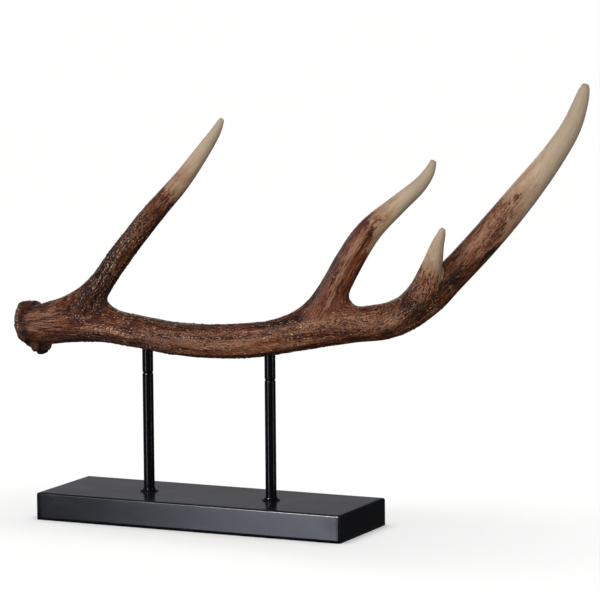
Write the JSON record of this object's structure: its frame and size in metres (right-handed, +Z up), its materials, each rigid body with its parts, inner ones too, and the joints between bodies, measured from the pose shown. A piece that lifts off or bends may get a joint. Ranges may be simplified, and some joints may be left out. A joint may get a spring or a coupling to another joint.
{
  "type": "mounted antler",
  "caption": "Shed deer antler with knobbly burr and pale-tipped tines, held upright on slim posts over a black steel display base.",
  "frame": {"origin": "centre of the base's flat underside", "axes": "+Z up; +X along the base and the beam, from the burr towards the tip; +Y to the back"},
  "size_m": [0.5488, 0.1025, 0.4045],
  "materials": {
    "antler": "satin",
    "stand": "satin"
  },
  "bodies": {
    "root": {"beam": "antler", "brow_tine": "antler", "tray_tine": "antler", "crown_tine": "antler", "pin_left": "stand", "pin_right": "stand", "post_left": "stand", "post_right": "stand", "foot_ring_left": "stand", "foot_ring_right": "stand", "base_cover": "stand", "base_bottom_plate": "stand"}
  },
  "joints": []
}
